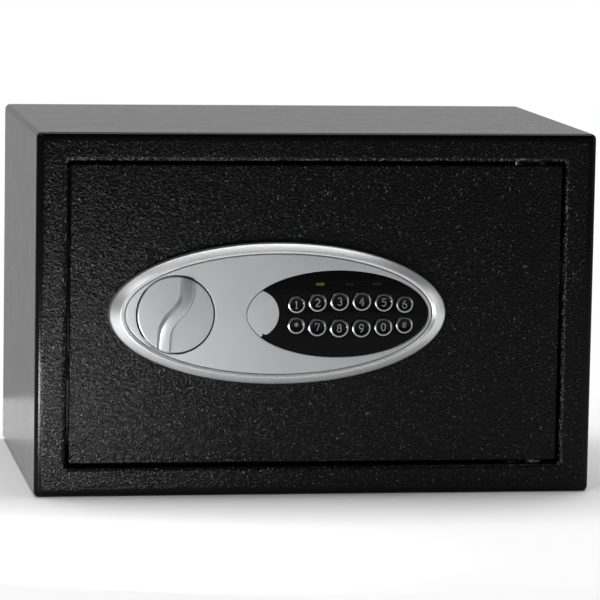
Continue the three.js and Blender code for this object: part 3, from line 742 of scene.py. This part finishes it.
for light, material in LIGHTS.items():
    low, high, _ = span(light)
    outline = rect_outline(front_rect(light), 0.3 * MM)
    cut_plate(light + "_window", outline, [], high.y, low.y, 0.2 * MM, [material], "door", (light,))


# ---------------------------------------------------------------- knob
# The grip, in millimetres: half its width, how far its ends lie to either side, and how quickly it crosses over.
RIDGE_HALF, RIDGE_SWING, RIDGE_TURN = 2.8, 6.4, 6.4
RIDGE_HEIGHT, RIDGE_DROP, RIDGE_INSET = 5.0, 2.4, 0.35
DISC_FACE, DISC_INSET = 8.0, 0.25


def knob():
    """A dished disc with an S-shaped grip that is highest at the middle."""
    low, _, centre = span("knob")
    r, face = half("knob").x / MM - DISC_INSET, DISC_FACE
    top = (DOOR_FRONT - low.y) / MM
    bm = bmesh.new()
    outline = [(0, face), (r - 0.5, face), (r, face - 0.5), (r, 6.0), (14, 6.0), (14, 3.5), (0, 3.5)]
    revolve(bm, round_profile(outline, 0.4), facing(centre), 128)
    flank = [(-1.5, -0.2), (-1.15, 0.03), (-0.95, 0.25), (-0.12, 4.45), (0.0, 4.72), (0.25, 4.9), (0.6, 4.96)]
    section = [(a - RIDGE_HALF, h) for a, h in flank]
    section += [(0, RIDGE_HEIGHT)] + [(-a, h) for a, h in reversed(section)]
    reach, steps = r + 1.5, 72
    rings = []
    for i in range(steps + 1):
        z = -reach + 2 * reach * i / steps
        slope = RIDGE_SWING / RIDGE_TURN / math.cosh(z / RIDGE_TURN) ** 2
        across = Vector((1, -slope)).normalized()
        middle = Vector((RIDGE_SWING * math.tanh(z / RIDGE_TURN), z))
        drop = RIDGE_DROP * (z / r) ** 2
        ring = []
        for a, h in section:
            at = middle + across * a
            height = face + h - drop * max(0.0, min(1.0, h / RIDGE_HEIGHT))
            ring.append(above_door(centre.x + at.x * MM, centre.z + at.y * MM, min(height, top)))
        rings.append(ring)
    grip = bmesh.new()
    capped(grip, rings)
    finish_piece("knob_disc", bm, [KNOB], "knob", ("knob",), 40.0)
    made = finish_piece("knob_grip", grip, [KNOB], "knob", (), 50.0, weighted=False)
    rim = cutter("y", (centre.x, centre.z), (r - RIDGE_INSET) * MM, DOOR_FRONT - 20 * MM, DOOR_FRONT, 128)
    drill(made, [rim], "INTERSECT")


knob()


# ---------------------------------------------------------------- turned pieces
def turned(cad, axis, profile, materials, body, rounding=0.2, bands=((-1, 0),), flip=False, count=48):
    """A turned piece on a CAD node's middle line.

    The profile is (radius, height) in millimetres. Heights run from the node's low end, or from its high end if
    flipped. Each band is (from this height, number of its material).
    """
    low, high, centre = span(cad)
    length = getattr(high - low, axis) / MM
    start = getattr(low, axis)
    places = {
        "x": lambda a, b, h: Vector((start + h * MM, centre.y + a * MM, centre.z + b * MM)),
        "y": lambda a, b, h: Vector((centre.x + a * MM, start + h * MM, centre.z + b * MM)),
        "z": lambda a, b, h: Vector((centre.x + a * MM, centre.y + b * MM, start + h * MM)),
    }
    if flip:
        profile = [(r, length - h) for r, h in profile]
    bm = bmesh.new()
    revolve(bm, round_profile(profile, rounding), places[axis], count)
    for face in bm.faces:
        along = (getattr(face.calc_center_median(), axis) - start) / MM
        along = length - along if flip else along
        face.material_index = [material for height, material in bands if height <= along + 1e-4][-1]
    return finish_piece(cad + "_turned", bm, materials, body, (cad,))


def closed(outer):
    """A solid turned profile, closed on its axis at both ends."""
    return [(0, outer[0][1]), *outer, (0, outer[-1][1])]


BOLT = closed([(5.7, 0), (7, 1.2), (7, 21.5)])
for name in ("locking_bolt_upper", "locking_bolt_lower"):
    turned(name, "x", BOLT, [STEEL], "boltwork", 0.5, count=72)
turned("hinge_pin_upper", "z", closed([(2.5, 0), (2.5, 5.3), (1.8, 6)]), [DARK_STEEL], "door")
turned("hinge_pin_lower", "z", closed([(1.8, 0), (2.5, 0.7), (2.5, 6)]), [DARK_STEEL], "door")
WASHER = [(2.8, 0), (4.5, 0), (4.5, 1.7), (2.8, 1.7), (2.8, 0)]
turned("hinge_washer", "z", WASHER, [NYLON], "cabinet", 0.3)
POST = closed([(2.5, 0), (2.5, 19.7), (4, 19.7), (4, 21.3), (3.1, 22.5)])
turned("guide_post", "y", POST, [STEEL], "door", 0.3)
PLUNGER = closed([(2, 0), (2.5, 0.5), (2.5, 4.2), (6, 4.2), (6, 5.4), (2.5, 5.4), (2.5, 29.5)])
turned("solenoid_plunger", "z", PLUNGER, [STEEL], "plunger")
RESET = closed([(4.5, 0), (4.5, 1.5), (3, 1.5), (3, 4.1), (2.2, 4.6), (1, 4.8)])
turned("reset_button", "y", RESET, [BUTTON], "reset_button", 0.5)


def coil():
    """A bobbin with black end plates, wound with fine copper."""
    low, high, _ = span("solenoid_coil")
    length = (high.z - low.z) / MM
    plate, wire = 1.3, 0.62
    winding = []
    for i in range(int((length - 2 * plate) / wire)):
        winding += [(8.4, plate + i * wire), (8.62, plate + (i + 0.5) * wire)]
    profile = [(0, length - 6.2), (2.8, length - 6.2), (2.8, 0), (9, 0), (9, plate), (8.4, plate), *winding]
    profile += [(8.4, length - plate), (9, length - plate), (9, length), (0, length)]
    bands = ((-1, 0), (plate - 0.1, 1), (length - plate - 0.1, 0))
    turned("solenoid_coil", "z", profile, [NYLON, COPPER], "door", 0.0, bands)


def cell(number):
    """A dry cell: a plain two-colour sleeve, rolled ends and a raised contact at one end."""
    name = f"battery_{number}"
    profile = closed([
        (5.0, 0.35), (5.4, 0), (6.7, 0), (7.25, 0.6), (7.25, 48.3), (6.7, 49), (5.2, 49), (5.0, 48.75), (3.2, 48.75),
        (2.75, 49.2), (2.75, 50.1), (2.3, 50.5),
    ])
    bands = [(-1, 2), (0.8, 0), (34.0, 1), (48.2, 2)]
    turned(name, "x", profile, [SLEEVE, BAND, STEEL], "door", 0.25, bands, flip=number % 2 == 0)


coil()
for number in (1, 2, 3, 4):
    cell(number)


# ---------------------------------------------------------------- screws, lid, mat and spring
def prism(outline, along):
    """A straight-sided cutter from an outline in X and Z, between two depths."""
    bm = bmesh.new()
    capped(bm, [[(x, y, z) for x, z in outline] for y in along])
    return tool_mesh(bm)


def cross(centre, reach, width, turn):
    """The outline of a cross recess, turned by some degrees."""
    a, b = reach, width / 2
    corners = [
        (a, -b), (a, b), (b, b), (b, a), (-b, a), (-b, b), (-a, b), (-a, -b), (-b, -b), (-b, -a), (b, -a), (b, -b),
    ]
    c, s = math.cos(math.radians(turn)), math.sin(math.radians(turn))
    return [(centre.x + (x * c - z * s) * MM, centre.z + (x * s + z * c) * MM) for x, z in corners]


SCREW = closed([(1.4, 0), (1.9, 0.5), (1.9, 6), (4, 6), (4, 7.0), (3.5, 7.7), (2.4, 8.1), (1, 8.2)])
for number, turn in ((1, 12), (2, 67), (3, 38), (4, 81)):
    name = f"cover_screw_{number}"
    _, high, centre = span(name)
    screw = turned(name, "y", SCREW, [ZINC], "door", 0.3)
    drill(screw, [prism(cross(centre, 2.1, 0.85, turn), (high.y - 1.5 * MM, high.y + MM))])


def lid():
    """The battery lid: a plate with rounded edges and five grip ribs."""
    low, high, centre = span("battery_lid")
    cut_plate(
        "lid_plate", rect_outline(front_rect("battery_lid"), 1.5 * MM), [], high.y, low.y, 0.4 * MM,
        [CASE], "battery_lid", ("battery_lid",),
    )
    first, pitch, half_width, half_length, taper = 6.0 * MM, 2.4 * MM, 0.6 * MM, 10 * MM, 0.6
    bm = bmesh.new()
    for i in range(5):
        x = high.x - first - pitch * i
        rect = (x - half_width, x + half_width, centre.z - half_length, centre.z + half_length)
        outline = rect_outline(rect, 0.55 * MM)
        base = [(px, high.y - 0.2 * MM, pz) for px, pz in outline]
        top = [(x + (px - x) * taper, high.y + 0.45 * MM, pz) for px, pz in outline]
        capped(bm, [base, top])
    finish_piece("lid_ribs", bm, [CASE], "battery_lid", ())


def mat():
    """The felt mat on the floor, cut round the anchor bolts."""
    low, high, _ = span("floor_mat")
    outline = rect_outline((low.x, high.x, low.y, high.y), 3 * MM)
    holes = [circle(Vector((x, 0, y)), MAT_HOLE, count=40) for x, y in anchor_holes("base")]
    made = cut_plate(
        "felt_mat", outline, holes, high.z, low.z, 0.8 * MM, [FELT], "cabinet", ("floor_mat",),
        lying=True,
    )


def spring():
    """The plunger's return spring."""
    low, high, centre = span("plunger_spring")
    wire, turns, sides, steps = 0.28 * MM, 3.6, 10, 150
    radius = half("plunger_spring").x - wire
    bm = bmesh.new()
    rings = []
    for i in range(steps + 1):
        t = i / steps
        angle = 2 * math.pi * turns * t
        out = Vector((math.cos(angle), math.sin(angle), 0))
        at = Vector((centre.x, centre.y, low.z + wire + (high.z - low.z - 2 * wire) * t)) + out * radius
        ring = []
        for k in range(sides):
            around = 2 * math.pi * k / sides
            ring.append(at + out * wire * math.cos(around) + Vector((0, 0, wire * math.sin(around))))
        rings.append(ring)
    capped(bm, rings)
    replaced = ("plunger_spring",)
    finish_piece("plunger_spring_wire", bm, [STEEL], "plunger", replaced, 60.0, weighted=False)


lid()
mat()
spring()

# ---------------------------------------------------------------- what the CAD already shapes
for name, material, edge in [
    ("door_channel", ZINC, 0.3), ("inner_cover", FINE_COAT, 0.3),
    ("hinge_lug_upper", DOOR_COAT, 0.4), ("hinge_lug_lower", DOOR_COAT, 0.4),
    ("keypad_board", BOARD, 0.1), ("key_mat", RUBBER, 0.1),
    ("override_lock_body", BRASS, 0.2), ("override_plug", BRASS, 0.15), ("override_lever", ZINC, 0.2),
    ("knob_spindle", STEEL, 0.2), ("drive_cam", ZINC, 0.25), ("bolt_carriage", ZINC, 0.25),
    ("solenoid_frame", ZINC, 0.2), ("solenoid_lead", RED_LEAD, 0), ("battery_lead", BLACK_LEAD, 0),
    ("battery_box", CASE, 0.25),
]:
    dress(name, material, edge)
for name in ("solenoid_lead", "battery_lead"):
    modifier = frame["nodes"][name].modifiers.new("smooth", "SUBSURF")
    modifier.levels = 2
    modifier.render_levels = 2


# ---------------------------------------------------------------- floor, light and camera
def stage_floor():
    """Pale paper that fades out into the white background, so that its edge doesn't show."""
    made, tree, shader, where = begin("floor_paper", 0.0, Specular_IOR_Level=0.1)
    drift(tree, shader, where, (0.86, 0.86, 0.86), 0.75, 0.01, 3.0)
    away = node(tree, "VectorMath", {0: where}, operation="LENGTH").outputs["Value"]
    back = node(tree, "SeparateXYZ", {0: where}).outputs["Y"]
    faded = maths(tree, ramp(tree, away, 0.5, 0.95), ramp(tree, back, 0.14, 0.25), "MAXIMUM")
    seen = maths(tree, faded, node(tree, "LightPath").outputs["Is Camera Ray"])
    clear = node(tree, "BsdfTransparent").outputs[0]
    mixed = node(tree, "MixShader", {0: seen, 1: shader.outputs[0], 2: clear}).outputs[0]
    tree.links.new(mixed, tree.nodes["Material Output"].inputs["Surface"])
    bm = bmesh.new()
    bmesh.ops.create_grid(bm, x_segments=8, y_segments=8, size=0.5)
    place = Matrix.Translation((0, -0.37, 0)) @ Matrix.Diagonal((2.6, 1.26, 1, 1))
    bmesh.ops.transform(bm, verts=bm.verts, matrix=place)
    mesh = bpy.data.meshes.new("floor")
    bm.to_mesh(mesh)
    bm.free()
    mesh.materials.append(made)
    floor = bpy.data.objects.new("floor", mesh)
    scene.collection.objects.link(floor)


def studio_world():
    """A white room that is darker behind the camera, and plain white to the camera itself."""
    world = bpy.data.worlds.new("studio")
    scene.world = world
    world.use_nodes = True
    tree = world.node_tree
    direction = node(tree, "SeparateXYZ", {0: tree.nodes.new("ShaderNodeTexCoord").outputs["Generated"]})
    behind = ramp(tree, direction.outputs["Y"], -0.25, 0.3, 0.015, 0.5)
    overhead = ramp(tree, direction.outputs["Z"], 0.5, 0.95, 0.0, 0.2)
    ahead = ramp(tree, direction.outputs["Z"], -0.05, 0.2, 0.22, 0.015)
    lit = maths(tree, maths(tree, behind, overhead, "MAXIMUM"), ahead, "MAXIMUM")
    to_camera = node(tree, "LightPath").outputs["Is Camera Ray"]
    level = node(tree, "Mix", {"Factor": to_camera, 2: lit, 3: 1.0}).outputs[0]
    background = tree.nodes["Background"]
    background.inputs["Color"].default_value = (1, 1, 1, 1)
    tree.links.new(level, background.inputs["Strength"])


def area_light(name, at, target, width, height, watts):
    """A soft light that the camera doesn't see."""
    light = bpy.data.lights.new(name, "AREA")
    light.shape = "RECTANGLE"
    light.size, light.size_y, light.energy = width, height, watts
    made = bpy.data.objects.new(name, light)
    made.location = at
    made.rotation_euler = (Vector(target) - Vector(at)).to_track_quat("-Z", "Y").to_euler()
    made.visible_camera = False
    scene.collection.objects.link(made)


stage_floor()
studio_world()
area_light("upper_left", (-1.0, -1.4, 1.5), (0, 0, 0.1), width=0.9, height=0.9, watts=7.8)
area_light("right", (1.4, -0.9, 0.5), (0, 0, 0.1), width=0.5, height=0.9, watts=4)
area_light("low_left", (-0.185, -0.34, 0.02), (-0.1, -0.1, 0.05), width=0.08, height=0.04, watts=0.7)
area_light("floor_glow", (0.0, 0.2, 1.6), (0.0, -0.05, 0.0), width=1.6, height=0.8, watts=25)


def camera():
    """The view from the front, a little to the left and above."""
    yaw, pitch, roll = -9.30, 7.16, 0.98  # degrees
    place = Vector((-0.3507, -2.1825, 0.3734))
    lens = bpy.data.cameras.new("camera")
    lens.lens = 232.8
    lens.sensor_width = 36.0
    lens.clip_start = 0.1
    made = bpy.data.objects.new("camera", lens)
    turn = (
        Matrix.Rotation(math.radians(yaw), 4, "Z")
        @ Matrix.Rotation(math.radians(90 - pitch), 4, "X")
        @ Matrix.Rotation(math.radians(roll), 4, "Z")
    )
    made.matrix_world = Matrix.Translation(place) @ turn
    scene.collection.objects.link(made)
    scene.camera = made


camera()
scene.view_settings.view_transform = "Standard"

bpy.context.view_layer.update()
